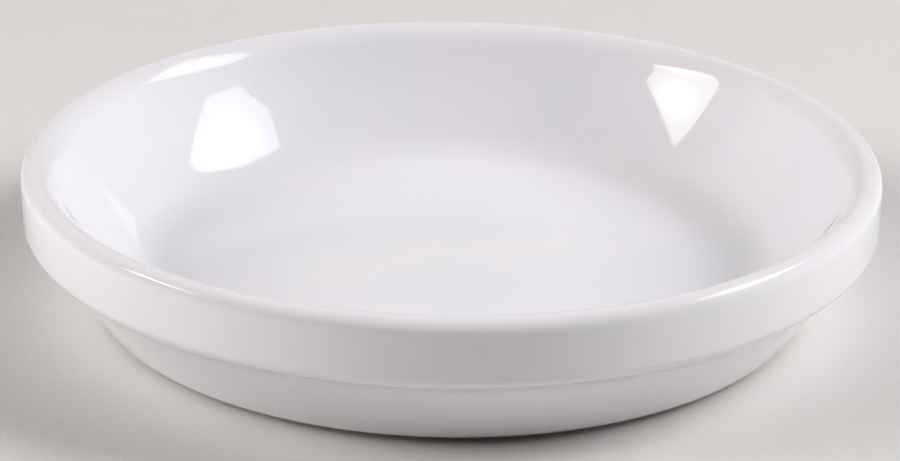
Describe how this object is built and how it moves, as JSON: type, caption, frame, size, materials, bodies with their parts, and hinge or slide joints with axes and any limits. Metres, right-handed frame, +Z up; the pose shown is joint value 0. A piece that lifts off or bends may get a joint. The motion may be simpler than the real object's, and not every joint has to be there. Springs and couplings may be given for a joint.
{
  "type": "creme brulee dish",
  "caption": "Shallow round white porcelain baking dish with a rounded lip, an upright collar over a stacking step, and a slanted wall down to a heel over a set-in foot ring.",
  "frame": {"origin": "centre of the foot ring, on the plane that the dish stands on", "axes": "+Z up along the dish's axis of revolution; X and Y lie in the foot plane, with -Y towards the picture's camera"},
  "size_m": [0.13, 0.13, 0.0231],
  "materials": {
    "biscuit_porcelain": "bare fired porcelain, matt and slightly grainy",
    "white_glaze": "clear white glaze, high gloss"
  },
  "bodies": {
    "root": {"porcelain_body": "biscuit_porcelain", "glaze_coat": "white_glaze", "base_glaze": "white_glaze"}
  },
  "joints": []
}
